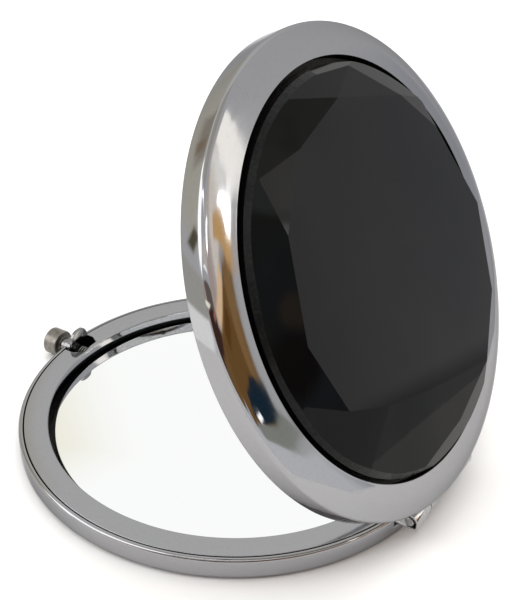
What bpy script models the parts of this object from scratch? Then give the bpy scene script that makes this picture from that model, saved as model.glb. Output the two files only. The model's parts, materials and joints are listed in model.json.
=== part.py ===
"""Round folding makeup mirror: a pocket compact of chromed metal with two
mirrors, a faceted dark crystal set in the lid, a rolled-barrel hinge and a
push-button catch.

Frame: origin at the centre of the base's flat underside, +Z up, hinge at the
back (+Y), button at the front (-Y).  The lid is modelled in its closed place
and turned open about the hinge pin by LID_OPEN.
"""

import bmesh
import bpy
from math import cos, pi, radians, sin
from mathutils import Matrix, Vector

MM = 0.001

# ---- driving dimensions, millimetres and degrees -------------------------
R_OUT = 35.0            # outer radius of both halves
WALL = 0.7              # sheet thickness of the two shells
SEGMENTS = 72           # round faces of the shells

BASE_TOP = 4.0          # flat ring of the base
BASE_FLOOR = 0.6
BASE_FILLET = 1.3       # round under the base
RIM_ROUND = 0.5         # round on the base's top outer edge
RING_OUT = 34.1         # inner rings: outer and inner radius of the flange
RING_IN = 30.3
RING_LEG = 30.9
RING_THICK = 0.5

MIRROR_R = 29.4
MIRROR_TOP = 2.0
MIRROR_THICK = 0.9
PAD_R = 27.5

SEAM = 0.3              # gap between the closed halves
LID_WALL_H = 3.1        # straight part of the lid's side
SHOULDER = 0.6
CROWN_H = 4.27          # the lid ring's arch would end here, at the opening
CROWN_RISE = 0.43       # how far the ring bulges between shoulder and opening
CROWN_EASE = 0.646      # share of its width where the arch runs out straight
CROWN_RUN = 0.127       # rise of the straight part, over the whole width
OPENING_R = 29.8
WEB_LOW = 2.4           # floor of the crystal's seat, from the lid's bottom
WEB_HIGH = 2.9

GLASS_R = 28.95
GLASS_X = 0.065         # the crystal sits a little off the lid's centre
GLASS_Y = 0.24
GLASS_LOW = 3.3
GLASS_TABLE = 6.15
RIM_REACH = 28.2        # where its rounded rim bevel starts
RIM_FALL = 0.6
RIM_SLOPE = 50.0
# the crystal's cut: corners of the flat table as (bearing, radius), and corners
# of the girdle as (bearing, radius, fall below the table, slope of the flat
# bevel that runs on to the next corner, 0 where the rim is round)
TABLE_CORNERS = [(263, 24.0), (294, 22.9), (325, 22.1), (1.5, 22.8), (30, 23.1), (53, 19.5),
                 (78.5, 18.6), (103, 21.2)]
GIRDLE = [(252.5, 28.0, 0.25, 50), (272, 28.2, 0.60, 0), (284.5, 28.0, 0.55, 0),
          (312, 27.7, 0.6, 0), (342, 28.0, 0.6, 0), (14, 27.8, 0.6, 0), (46, 28.2, 0.5, 0),
          (74, 28.4, 0.6, 17), (97, 26.9, 0.35, 13), (123, 27.8, 0, 45), (147, 28.2, 0, 45),
          (175, 28.5, 0, 38), (205.5, 27.1, 0, 11), (226.5, 26.2, 0, 20)]
BACKING_LOW = 3.0
BACKING_HIGH = 3.2

PIN_Y = 35.8            # hinge axis, parallel to X
PIN_Z = BASE_TOP + SEAM / 2
PIN_R = 0.75
BARREL_IN = 1.1
BARREL_OUT = 1.45
BARREL_HALF = 9.5
KNUCKLE_SPLIT = 4.9
LEAF_DROP = 1.2         # underside of the base's leaf, below the pin's axis
NOTCH = 1.7             # clearance round the barrel, cut from both walls
LID_OPEN = 62.9         # how far the lid stands open

CLASP_X = -0.4          # the clasp's middle
BUTTON_Z = 2.45
HEAD_R = 2.35
HEAD_BACK = -36.9
HEAD_FRONT = -39.75
NECK_R = 1.25
STEM_R = 0.62
BUSH_R = 1.7
BUSH_BORE = 1.35
CATCH_Y0 = -33.55
CATCH_Y1 = -32.95
CATCH_HALF = 2.1
CATCH_TOP = 6.8
CATCH_LOW = 1.0
RECESS_OUT_HALF = 2.85
RECESS_IN_HALF = 1.95
RECESS_IN_Y = -31.0
RECESS_MID_Y = -32.4

LID_Z = BASE_TOP + SEAM  # the closed lid's bottom plane

COLOURS = {             # base colour, metallic, roughness
    "chrome": ((0.62, 0.62, 0.64, 1.0), 1.0, 0.12),
    "satin_nickel": ((0.36, 0.34, 0.31, 1.0), 1.0, 0.38),
    "spring_steel": ((0.50, 0.50, 0.50, 1.0), 1.0, 0.30),
    "mirror_silver": ((0.93, 0.94, 0.95, 1.0), 1.0, 0.02),
    "dark_crystal": ((0.035, 0.036, 0.040, 1.0), 0.0, 0.03),
    "black_foil": ((0.012, 0.012, 0.013, 1.0), 0.0, 0.30),
    "foam_pad": ((0.55, 0.55, 0.53, 1.0), 0.0, 0.90),
}


# ---- helpers ---------------------------------------------------------------
def clear_scene():
    for ob in list(bpy.data.objects):
        bpy.data.objects.remove(ob, do_unlink=True)


def material(name, kind):
    colour, metallic, rough = COLOURS[kind]
    mat = bpy.data.materials.new(name)
    mat.use_nodes = True
    shader = mat.node_tree.nodes["Principled BSDF"]
    shader.inputs["Base Color"].default_value = colour
    shader.inputs["Metallic"].default_value = metallic
    shader.inputs["Roughness"].default_value = rough
    return mat


def finish_mesh(name, bm, kind, parent=None, smooth=True):
    """Turn a bmesh in millimetres, in the closed frame, into an object."""
    bmesh.ops.recalc_face_normals(bm, faces=bm.faces)
    if bm.calc_volume(signed=True) < 0:
        bmesh.ops.reverse_faces(bm, faces=bm.faces)
    shift = Vector((0, 0, 0))
    if parent is not None:
        shift = parent["home"]
        shift = Vector((shift[0], shift[1], shift[2]))
    for v in bm.verts:
        v.co = (v.co - shift) * MM
    mesh = bpy.data.meshes.new(name)
    bm.to_mesh(mesh)
    bm.free()
    if smooth:
        mesh.shade_smooth()
        mesh.set_sharp_from_angle(angle=radians(32))
    ob = bpy.data.objects.new(name, mesh)
    bpy.context.scene.collection.objects.link(ob)
    if kind:
        mesh.materials.append(material(name + "_mat", kind))
    if parent is not None:
        ob.parent = parent
    return ob


def lathe(points, steps=SEGMENTS):
    """Spin a closed outline of (radius, height) points about Z."""
    bm = bmesh.new()
    verts = [bm.verts.new((r, 0.0, z)) for r, z in points]
    edges = [bm.edges.new((verts[i], verts[(i + 1) % len(verts)]))
             for i in range(len(verts))
             if not (points[i][0] == 0.0 and points[(i + 1) % len(verts)][0] == 0.0)]
    bmesh.ops.spin(bm, geom=verts + edges, cent=(0, 0, 0), axis=(0, 0, 1),
                   steps=steps, angle=2 * pi, use_merge=True)
    bmesh.ops.remove_doubles(bm, verts=bm.verts, dist=1e-4)
    bmesh.ops.dissolve_degenerate(bm, edges=bm.edges, dist=1e-5)
    return bm


def arc(cx, cz, r, a0, a1, n):
    return [(cx + r * cos(radians(a0 + (a1 - a0) * i / n)),
             cz + r * sin(radians(a0 + (a1 - a0) * i / n))) for i in range(n + 1)]


def lathe_y(points, cx, cz, steps=28):
    """Spin a closed outline of (radius, y) points about an axis along Y."""
    bm = lathe([(r, -y) for r, y in points], steps)
    turn = Matrix.Rotation(radians(90), 4, "X")
    bmesh.ops.transform(bm, matrix=Matrix.Translation((cx, 0, cz)) @ turn,
                        verts=bm.verts)
    return bm


def prism(outline, axis, low, high):
    """Extrude a closed 2-D outline along X, Y or Z from low to high."""
    place = {"X": lambda a, b, c: (c, a, b),
             "Y": lambda a, b, c: (a, c, b),
             "Z": lambda a, b, c: (a, b, c)}[axis]
    bm = bmesh.new()
    face = bm.faces.new([bm.verts.new(place(a, b, low)) for a, b in outline])
    made = bmesh.ops.extrude_face_region(bm, geom=[face])
    top = [v for v in made["geom"] if isinstance(v, bmesh.types.BMVert)]
    step = Vector(place(0.0, 0.0, high - low))
    bmesh.ops.translate(bm, vec=step, verts=top)
    return bm


def box(x0, x1, y0, y1, z0, z1):
    return prism([(x0, y0), (x1, y0), (x1, y1), (x0, y1)], "Z", z0, z1)


def cutter(name, bm, parent=None):
    ob = finish_mesh(name, bm, None, parent, smooth=False)
    ob.hide_render = True
    ob.display_type = "WIRE"
    return ob


def boolean(ob, tool, operation="DIFFERENCE"):
    mod = ob.modifiers.new(tool.name, "BOOLEAN")
    mod.operation = operation
    mod.solver = "EXACT"
    mod.object = tool
    return mod


def pivot(name, home, turn_x=0.0):
    """An empty on a joint's axis; its children are modelled around home."""
    ob = bpy.data.objects.new(name, None)
    bpy.context.scene.collection.objects.link(ob)
    ob.location = Vector(home) * MM
    ob.rotation_euler = (radians(turn_x), 0.0, 0.0)
    ob.empty_display_size = 0.01
    ob["home"] = home
    return ob


# ---- base ------------------------------------------------------------------
def hinge_notch(side):
    """Clearance for the barrel, cut from the base (-1) or the lid (+1)."""
    far = PIN_Z + side * NOTCH
    return box(-BARREL_HALF - 0.2, BARREL_HALF + 0.2, 32.3, 37.5,
               min(PIN_Z - side * 3.0, far), max(PIN_Z - side * 3.0, far))


def catch_recess(low, high):
    """Hole in a flat ring for the catch: straight sides, then a taper."""
    side = [(RECESS_OUT_HALF, -34.8), (RECESS_OUT_HALF, RECESS_MID_Y),
            (RECESS_IN_HALF, RECESS_IN_Y)]
    outline = [(CLASP_X + x, y) for x, y in side]
    outline += [(CLASP_X - x, y) for x, y in side[::-1]]
    return prism(outline, "Z", low, high)


def make_base_shell():
    inner = R_OUT - WALL
    outline = [(0.0, 0.0), (R_OUT - BASE_FILLET, 0.0)]
    outline += arc(R_OUT - BASE_FILLET, BASE_FILLET, BASE_FILLET, -90, 0, 6)[1:]
    outline += arc(R_OUT - RIM_ROUND, BASE_TOP - RIM_ROUND, RIM_ROUND, 0, 90, 4)
    outline += [(inner, BASE_TOP), (inner, 1.1)]
    outline += arc(inner - 0.5, 1.1, 0.5, 0, -90, 3)[1:]
    outline += [(0.0, BASE_FLOOR)]
    ob = finish_mesh("base_shell", lathe(outline), "chrome")
    boolean(ob, cutter("cut_base_hinge", hinge_notch(-1)))
    slot = [(CLASP_X + 1.9 * cos(radians(a)), BUTTON_Z + 1.9 * sin(radians(a)))
            for a in range(180, 361, 15)]
    slot += [(CLASP_X + 1.9, 6.0), (CLASP_X - 1.9, 6.0)]
    boolean(ob, cutter("cut_button_slot", prism(slot, "Y", -37.0, -33.6)))
    return ob


def inner_ring(name, flange_low, flange_high, leg_end, parent=None):
    """Flat ring with a leg that turns in round the mirror."""
    up = leg_end > flange_high
    if up:
        outline = [(RING_IN, flange_low), (RING_OUT, flange_low),
                   (RING_OUT, flange_high), (RING_LEG, flange_high),
                   (RING_LEG, leg_end), (RING_IN, leg_end)]
    else:
        outline = [(RING_IN, flange_high), (RING_IN, leg_end),
                   (RING_LEG, leg_end), (RING_LEG, flange_low),
                   (RING_OUT, flange_low), (RING_OUT, flange_high)]
    ob = finish_mesh(name, lathe(outline), "chrome", parent)
    low, high = min(flange_low, flange_high) - 0.2, max(flange_low, flange_high) + 0.2
    boolean(ob, cutter("cut_hinge_" + name,
                       box(-BARREL_HALF - 0.2, BARREL_HALF + 0.2, 33.2, 36.0, low, high),
                       parent))
    boolean(ob, cutter("cut_catch_" + name, catch_recess(low, high), parent))
    return ob


def disc(name, radius, low, high, kind, parent=None, edge=0.0, low_edge=0.0):
    outline = [(0.0, low), (radius - low_edge, low)]
    if low_edge:
        outline += [(radius, low + low_edge)]
    outline += [(radius, high - edge)]
    if edge:
        outline += [(radius - edge, high)]
    outline += [(0.0, high)]
    return finish_mesh(name, lathe(outline), kind, parent)


def base_curl(reach, tail):
    """Side view (y, z) of the base's leaf: flat under the pin, a tight corner
    on the far side, then an arch over the pin whose end stays open."""
    t = BARREL_OUT - BARREL_IN
    outer = [(0.9, -LEAF_DROP), (1.25, -LEAF_DROP + 0.1), (BARREL_OUT, -0.8),
             (BARREL_OUT + 0.02, -0.35)]
    inner = [(0.8, -LEAF_DROP + t), (1.0, -LEAF_DROP + t + 0.07),
             (BARREL_IN - 0.02, -0.58), (BARREL_IN, -0.3)]
    return close_curl(outer, inner, 0, tail, reach, -LEAF_DROP, -LEAF_DROP + t, 1)


def lid_curl(reach, tail):
    """Side view (y, z) of the lid's leaf: over the pin and round under it."""
    return close_curl([], [], -90, tail, reach, -BARREL_OUT, -BARREL_IN, -1)


def close_curl(outer, inner, begin, tail, reach, low, high, side):
    end = 120
    for i in range(13):
        a = radians(begin + (end - begin) * i / 12)
        outer.append((BARREL_OUT * cos(a), BARREL_OUT * sin(a)))
        inner.append((BARREL_IN * cos(a), BARREL_IN * sin(a)))
    a = radians(end)
    dy, dz = -sin(a) * tail, cos(a) * tail
    outer.append((outer[-1][0] + dy, outer[-1][1] + dz))
    inner.append((inner[-1][0] + dy, inner[-1][1] + dz))
    outline = [(reach - PIN_Y, low)] + outer + inner[::-1] + [(reach - PIN_Y, high)]
    return [(PIN_Y + y, PIN_Z + side * z) for y, z in outline]


def make_base_hinge_leaf():
    shape = base_curl(31.5, 0.7)
    leaf = finish_mesh("base_hinge_leaf",
                       prism(shape, "X", -BARREL_HALF, -KNUCKLE_SPLIT - 0.1), "chrome")
    boolean(leaf, cutter("add_right_knuckle",
                         prism(shape, "X", KNUCKLE_SPLIT + 0.1, BARREL_HALF)), "UNION")
    strip = box(-BARREL_HALF + 0.6, BARREL_HALF - 0.6, 31.3, 32.9,
                PIN_Z - LEAF_DROP, PIN_Z - LEAF_DROP + BARREL_OUT - BARREL_IN)
    boolean(leaf, cutter("add_leaf_strip", strip), "UNION")
    return leaf


def make_hinge_pin():
    bm = lathe([(0.0, -BARREL_HALF), (PIN_R - 0.1, -BARREL_HALF),
                (PIN_R, -BARREL_HALF + 0.1), (PIN_R, BARREL_HALF - 0.1),
                (PIN_R - 0.1, BARREL_HALF), (0.0, BARREL_HALF)], 24)
    bmesh.ops.transform(bm, matrix=Matrix.Translation((0, PIN_Y, PIN_Z))
                        @ Matrix.Rotation(radians(90), 4, "Y"), verts=bm.verts)
    return finish_mesh("hinge_pin", bm, "chrome")


# ---- clasp -----------------------------------------------------------------
def make_button_bush():
    bm = lathe_y([(BUSH_BORE, -35.7), (BUSH_R - 0.15, -35.7), (BUSH_R, -35.55),
                  (BUSH_R, -34.0), (BUSH_BORE, -34.0)], CLASP_X, BUTTON_Z, 32)
    return finish_mesh("button_bush", bm, "chrome")


def make_push_button(parent):
    bm = lathe_y([(0.0, HEAD_FRONT), (HEAD_R - 0.35, HEAD_FRONT),
                  (HEAD_R - 0.1, HEAD_FRONT + 0.1), (HEAD_R, HEAD_FRONT + 0.35),
                  (HEAD_R, HEAD_BACK - 0.15), (HEAD_R - 0.15, HEAD_BACK),
                  (NECK_R, HEAD_BACK), (NECK_R, CATCH_Y0 - 0.1),
                  (STEM_R, CATCH_Y0 - 0.1), (STEM_R, CATCH_Y1 + 0.1),
                  (0.0, CATCH_Y1 + 0.1)], CLASP_X, BUTTON_Z, 32)
    return finish_mesh("push_button", bm, "satin_nickel", parent)


def make_latch_catch(parent):
    """Plate on the button's stem; its rounded top stands above the base."""
    foot = CATCH_TOP - 2.0
    arch = []
    for i in range(13):
        a = pi * i / 12
        c, s = cos(a), sin(a)
        squareness = 2 / 2.6
        arch.append((CLASP_X + CATCH_HALF * (abs(c) ** squareness) * (1 if c > 0 else -1),
                     foot + (CATCH_TOP - foot) * (s ** squareness if s > 0 else 0.0)))
    outline = [(CLASP_X - CATCH_HALF, CATCH_LOW), (CLASP_X + CATCH_HALF, CATCH_LOW)] + arch
    ob = finish_mesh("latch_catch", prism(outline, "Y", CATCH_Y0, CATCH_Y1), "chrome", parent)
    nose = prism([(-33.75, 5.35), (CATCH_Y0 + 0.2, 5.15), (CATCH_Y0 + 0.2, 6.05),
                  (-33.75, 5.75)], "X", CLASP_X - 1.2, CLASP_X + 1.2)
    boolean(ob, cutter("add_catch_nose", nose, parent), "UNION")
    hole = lathe_y([(0.0, CATCH_Y0 - 1.0), (STEM_R + 0.1, CATCH_Y0 - 1.0),
                    (STEM_R + 0.1, CATCH_Y1 + 1.0), (0.0, CATCH_Y1 + 1.0)],
                   CLASP_X, BUTTON_Z, 24)
    boolean(ob, cutter("cut_stem_hole", hole, parent))
    return ob


def make_latch_spring():
    """Coil behind the catch, its wire a six-sided tube along the helix."""
    turns, wire, mean = 3.5, 0.11, 0.92
    y0, y1 = CATCH_Y1 + 0.1 + wire, RECESS_IN_Y - 0.08 - wire
    steps = int(turns * 14)
    bm = bmesh.new()
    rings = []
    for i in range(steps + 1):
        t = i / steps
        a = 2 * pi * turns * t
        centre = Vector((CLASP_X + mean * cos(a), y0 + (y1 - y0) * t,
                         BUTTON_Z + mean * sin(a)))
        out = Vector((cos(a), 0, sin(a)))
        along = Vector((-mean * sin(a) * 2 * pi * turns, y1 - y0,
                        mean * cos(a) * 2 * pi * turns)).normalized()
        side = along.cross(out).normalized()
        rings.append([bm.verts.new(centre + out * wire * cos(k * pi / 3)
                                   + side * wire * sin(k * pi / 3)) for k in range(6)])
    for a, b in zip(rings, rings[1:]):
        for k in range(6):
            bm.faces.new((a[k], a[(k + 1) % 6], b[(k + 1) % 6], b[k]))
    bm.faces.new(rings[0][::-1])
    bm.faces.new(rings[-1])
    return finish_mesh("latch_spring", bm, "spring_steel")


# ---- lid -------------------------------------------------------------------
def make_lid_frame(parent):
    z = LID_Z
    inner = R_OUT - WALL
    shoulder_r = R_OUT - SHOULDER
    crown_r = shoulder_r + 0.1
    crown = []
    for t in (0.13, 0.26, 0.39, 0.52, CROWN_EASE, 1.0):
        e = min(t, CROWN_EASE)
        rise = CROWN_RISE * 4 * e * (1 - e) + CROWN_RUN * (t - e)
        h = (LID_WALL_H + SHOULDER - 0.08) * (1 - e) + CROWN_H * e + rise
        crown.append((crown_r - (crown_r - OPENING_R) * t, z + h))
    outline = [(0.0, z + WEB_HIGH), (0.0, z + WEB_LOW), (RING_IN + 0.3, z + WEB_LOW),
               (RING_IN + 1.0, z + 3.0), (inner, z + 3.0 - 0.1), (inner, z),
               (R_OUT - 0.15, z), (R_OUT, z + 0.15), (R_OUT, z + LID_WALL_H)]
    outline += [(r, zz) for r, zz in arc(shoulder_r, z + LID_WALL_H, SHOULDER, 0, 75, 4)[1:]]
    outline += crown
    outline += [(OPENING_R, z + WEB_HIGH)]
    ob = finish_mesh("lid_frame", lathe(outline), "chrome", parent)
    boolean(ob, cutter("cut_lid_hinge", hinge_notch(+1), parent))
    return ob


def glass_corner(bearing, radius, fall=0.0):
    a = radians(bearing)
    return Vector((radius * cos(a), radius * sin(a), LID_Z + GLASS_TABLE - fall))


def cut_plane(bm, a, b, c):
    """Grind away everything above the plane through three points."""
    normal = (b - a).cross(c - a).normalized()
    if normal.z < 0:
        normal.negate()
    bmesh.ops.bisect_plane(bm, geom=bm.verts[:] + bm.edges[:] + bm.faces[:], dist=1e-5,
                           plane_co=a, plane_no=normal, clear_outer=True)
    rim = [e for e in bm.edges if len(e.link_faces) == 1]
    if rim:
        bmesh.ops.contextual_create(bm, geom=rim)
        bmesh.ops.remove_doubles(bm, verts=bm.verts, dist=2e-3)


def make_crystal(parent):
    """Flat-topped round crystal: a shallow crown of triangles round the table,
    flat bevels of uneven width on one side and a round bevel on the other."""
    z = LID_Z
    centre = Vector((GLASS_X, GLASS_Y, 0))
    bm = lathe([(0.0, z + GLASS_LOW), (GLASS_R, z + GLASS_LOW),
                (GLASS_R, z + GLASS_TABLE), (0.0, z + GLASS_TABLE)])
    bmesh.ops.translate(bm, vec=centre, verts=bm.verts)
    for bearing in range(264, 432, 6):
        spot = glass_corner(bearing, RIM_REACH, RIM_FALL) + centre
        out = glass_corner(bearing, 1.0) - glass_corner(bearing, 0.0)
        s = radians(RIM_SLOPE)
        cut_plane(bm, spot, spot + Vector((-out.y, out.x, 0)),
                  spot + out * cos(s) - Vector((0, 0, sin(s))))
    table = [glass_corner(*c) for c in TABLE_CORNERS]
    girdle = [glass_corner(*c[:3]) for c in GIRDLE]
    for i, (p, row) in enumerate(zip(girdle, GIRDLE)):
        if row[3]:
            q = girdle[(i + 1) % len(girdle)]
            out = (q - p).cross(Vector((0, 0, 1))).normalized()
            s = radians(row[3])
            cut_plane(bm, p, q, (p + q) / 2 + out * cos(s) - Vector((0, 0, sin(s))))
    # the shallow crown: triangles that stand on the girdle, and between them
    # triangles that stand on the table
    crown = [girdle[0]] + girdle[2:10]
    for i, t in enumerate(table):
        cut_plane(bm, t, crown[i], crown[i + 1])
        if i:
            cut_plane(bm, table[i - 1], t, crown[i])
    cut_plane(bm, girdle[-1], table[0], girdle[0])
    return finish_mesh("crystal_glass", bm, "dark_crystal", parent, smooth=False)


def make_lid_hinge_leaf(parent):
    half = KNUCKLE_SPLIT - 0.1
    return finish_mesh("lid_hinge_leaf", prism(lid_curl(31.5, 0.3), "X", -half, half),
                       "chrome", parent)


def make_lid_strike(parent):
    """Ledge inside the lid's front wall, under which the catch's nose sits."""
    return finish_mesh("lid_strike",
                       box(CLASP_X - 1.8, CLASP_X + 1.8, -34.1, -33.85,
                           LID_Z + 0.1, LID_Z + 0.75), "chrome", parent)


# ---- assembly --------------------------------------------------------------
def main():
    clear_scene()
    lid = pivot("lid_pivot", (0.0, PIN_Y, PIN_Z), -LID_OPEN)
    slide = pivot("button_slide", (CLASP_X, HEAD_FRONT, BUTTON_Z))

    make_base_shell()
    inner_ring("base_ring", BASE_TOP - RING_THICK, BASE_TOP, 0.9)
    disc("base_mirror_pad", PAD_R, 0.7, 1.0, "foam_pad")
    disc("base_mirror", MIRROR_R, MIRROR_TOP - MIRROR_THICK, MIRROR_TOP,
         "mirror_silver", edge=0.15)
    make_base_hinge_leaf()
    make_hinge_pin()
    make_button_bush()
    make_latch_spring()

    make_push_button(slide)
    make_latch_catch(slide)

    make_lid_frame(lid)
    inner_ring("lid_inner_ring", LID_Z + 0.05, LID_Z + 0.05 + RING_THICK,
               LID_Z + 2.2, lid)
    disc("lid_mirror", MIRROR_R, LID_Z + 1.0, LID_Z + 1.9, "mirror_silver", lid,
         low_edge=0.15)
    disc("lid_mirror_pad", PAD_R, LID_Z + 2.0, LID_Z + 2.3, "foam_pad", lid)
    disc("crystal_backing", GLASS_R - 0.2, LID_Z + BACKING_LOW, LID_Z + BACKING_HIGH,
         "black_foil", lid)
    make_crystal(lid)
    make_lid_hinge_leaf(lid)
    make_lid_strike(lid)


main()
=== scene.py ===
import json
from math import atan2, cos, degrees, hypot, pi, radians, sin, tan

import bmesh
import bpy
from mathutils import Matrix, Vector


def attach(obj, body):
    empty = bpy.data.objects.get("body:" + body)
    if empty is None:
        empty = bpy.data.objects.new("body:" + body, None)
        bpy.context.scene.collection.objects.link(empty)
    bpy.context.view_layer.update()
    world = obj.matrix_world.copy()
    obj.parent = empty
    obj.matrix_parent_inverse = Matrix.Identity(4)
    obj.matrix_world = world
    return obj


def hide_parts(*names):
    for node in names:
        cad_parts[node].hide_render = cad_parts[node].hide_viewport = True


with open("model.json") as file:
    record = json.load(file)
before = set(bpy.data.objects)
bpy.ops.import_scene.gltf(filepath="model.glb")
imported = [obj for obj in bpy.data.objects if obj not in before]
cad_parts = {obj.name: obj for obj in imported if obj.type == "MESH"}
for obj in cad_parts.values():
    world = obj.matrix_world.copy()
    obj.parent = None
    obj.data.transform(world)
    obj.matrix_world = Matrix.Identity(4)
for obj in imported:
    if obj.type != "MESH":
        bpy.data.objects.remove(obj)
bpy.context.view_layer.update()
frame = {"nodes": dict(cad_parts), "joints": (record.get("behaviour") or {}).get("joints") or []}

# Folding makeup mirror.  Everything is drawn in millimetres in the closed
# frame (base centre at the origin, hinge at the back), then scaled to metres;
# the lid's pieces are turned open about the hinge pin.

MM = 0.001
HINGE = [j for j in frame["joints"] if j["name"] == "lid_hinge"][0]
PIN_Y, PIN_Z = HINGE["pos_m"][1] / MM, HINGE["pos_m"][2] / MM
LID_OPEN = -HINGE["range_deg"][0]

ROUND = 288             # steps round the big shells
R_OUT, INNER = 35.0, 34.3
LID_Z = 4.3
GLASS_TOP = LID_Z + 6.15
CLASP_X, BUTTON_Z = -0.4, 2.45
BARREL_IN, BARREL_OUT, BARREL_HALF = 1.1, 1.45, 9.5
KNUCKLE_SPLIT = 4.9

to_open = (Matrix.Translation((0, PIN_Y, PIN_Z)) @ Matrix.Rotation(radians(-LID_OPEN), 4, "X")
           @ Matrix.Translation((0, -PIN_Y, -PIN_Z)))


# ---------------------------------------------------------------- outlines
def rounded(corners, fine=6):
    """Closed outline from (x, y, radius) corners, each turned into an arc."""
    points, n = [], len(corners)
    for i in range(n):
        x, y, r = (tuple(corners[i]) + (0.0,))[:3]
        if not r:
            points.append((x, y))
            continue
        p = Vector((x, y))
        a = Vector(corners[i - 1][:2]) - p
        b = Vector(corners[(i + 1) % n][:2]) - p
        a.normalize(), b.normalize()
        half = a.angle(b) / 2
        reach = r / tan(half)
        centre = p + (a + b).normalized() * (r / sin(half))
        start, end = p + a * reach - centre, p + b * reach - centre
        a0, a1 = atan2(start.y, start.x), atan2(end.y, end.x)
        turn = (a1 - a0 + pi) % (2 * pi) - pi
        steps = max(2, round(fine * abs(turn) / (pi / 2)))
        for k in range(steps + 1):
            t = a0 + turn * k / steps
            points.append((centre.x + r * cos(t), centre.y + r * sin(t)))
    return points


def arc(cx, cy, r, a0, a1, n):
    return [(cx + r * cos(radians(a0 + (a1 - a0) * i / n)),
             cy + r * sin(radians(a0 + (a1 - a0) * i / n))) for i in range(n + 1)]


# ------------------------------------------------------------------ meshes
def lathe(outline, steps=ROUND):
    """Spin a closed (radius, height) outline about Z."""
    bm = bmesh.new()
    rings = []
    for r, z in outline:
        if r < 1e-6:
            rings.append([bm.verts.new((0, 0, z))] * steps)
        else:
            rings.append([bm.verts.new((r * cos(2 * pi * k / steps), r * sin(2 * pi * k / steps), z))
                          for k in range(steps)])
    for a, b in zip(rings, rings[1:] + rings[:1]):
        for k in range(steps):
            corners = [a[k], a[(k + 1) % steps], b[(k + 1) % steps], b[k]]
            face = []
            for v in corners:
                if v not in face:
                    face.append(v)
            if len(face) > 2:
                bm.faces.new(face)
    return solid(bm)


def lathe_y(outline, cx, cz, steps=96):
    """Spin a closed (radius, y) outline about an axis along Y."""
    bm = lathe([(r, -y) for r, y in outline], steps)
    bmesh.ops.transform(bm, verts=bm.verts, matrix=Matrix.Translation((cx, 0, cz))
                        @ Matrix.Rotation(radians(90), 4, "X"))
    return solid(bm)


def prism(outline, axis, low, high):
    place = {"X": lambda a, b, c: (c, a, b), "Y": lambda a, b, c: (a, c, b),
             "Z": lambda a, b, c: (a, b, c)}[axis]
    bm = bmesh.new()
    one = [bm.verts.new(place(a, b, low)) for a, b in outline]
    two = [bm.verts.new(place(a, b, high)) for a, b in outline]
    bm.faces.new(one)
    bm.faces.new(two)
    for i in range(len(one)):
        j = (i + 1) % len(one)
        bm.faces.new((one[i], one[j], two[j], two[i]))
    return solid(bm)


def block(x0, x1, y0, y1, z0, z1):
    return prism([(x0, y0), (x1, y0), (x1, y1), (x0, y1)], "Z", z0, z1)


def solid(bm):
    bmesh.ops.recalc_face_normals(bm, faces=bm.faces)
    if bm.calc_volume(signed=True) < 0:
        bmesh.ops.reverse_faces(bm, faces=bm.faces)
    return bm


def new_object(name, bm):
    mesh = bpy.data.meshes.new(name)
    bm.to_mesh(mesh)
    bm.free()
    ob = bpy.data.objects.new(name, mesh)
    bpy.context.scene.collection.objects.link(ob)
    return ob


def bake(ob):
    """Apply every modifier."""
    bpy.context.view_layer.update()
    graph = bpy.context.evaluated_depsgraph_get()
    mesh = bpy.data.meshes.new_from_object(ob.evaluated_get(graph))
    old = ob.data
    ob.modifiers.clear()
    ob.data = mesh
    bpy.data.meshes.remove(old)
    return ob


def combine(ob, tools):
    """Boolean the (operation, bmesh) tools into the object, one by one."""
    for operation, bm in tools:
        tool = new_object("tool", bm)
        mod = ob.modifiers.new("tool", "BOOLEAN")
        mod.operation, mod.solver, mod.object = operation, "EXACT", tool
        bake(ob)
        bpy.data.objects.remove(tool, do_unlink=True)
    return ob


def soften(ob, width, angle=38.0, segments=2):
    """Break the sharp edges."""
    bm = bmesh.new()
    bm.from_mesh(ob.data)
    bmesh.ops.remove_doubles(bm, verts=bm.verts, dist=1e-4)
    bm.to_mesh(ob.data)
    bm.free()
    mod = ob.modifiers.new("edge", "BEVEL")
    mod.width, mod.segments, mod.limit_method = width, segments, "ANGLE"
    mod.angle_limit, mod.use_clamp_overlap = radians(angle), True
    mod.miter_outer = "MITER_ARC"
    return bake(ob)


def finish(ob, body, materials, replaced=(), lid=False, pick=None, sharp=34.0, flat=False):
    """Scale to metres, open the lid's pieces, shade, hand over to the frame."""
    mesh = ob.data
    for mat in materials:
        mesh.materials.append(mat)
    if pick is not None:
        for face in mesh.polygons:
            face.material_index = pick(face.center, face.normal)
    mesh.transform((Matrix.Scale(MM, 4) @ to_open) if lid else Matrix.Scale(MM, 4))
    mesh.update()
    if not flat:
        mesh.shade_smooth()
        mesh.set_sharp_from_angle(angle=radians(sharp))
    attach(ob, body)
    if replaced:
        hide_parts(*replaced)
    return ob


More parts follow.
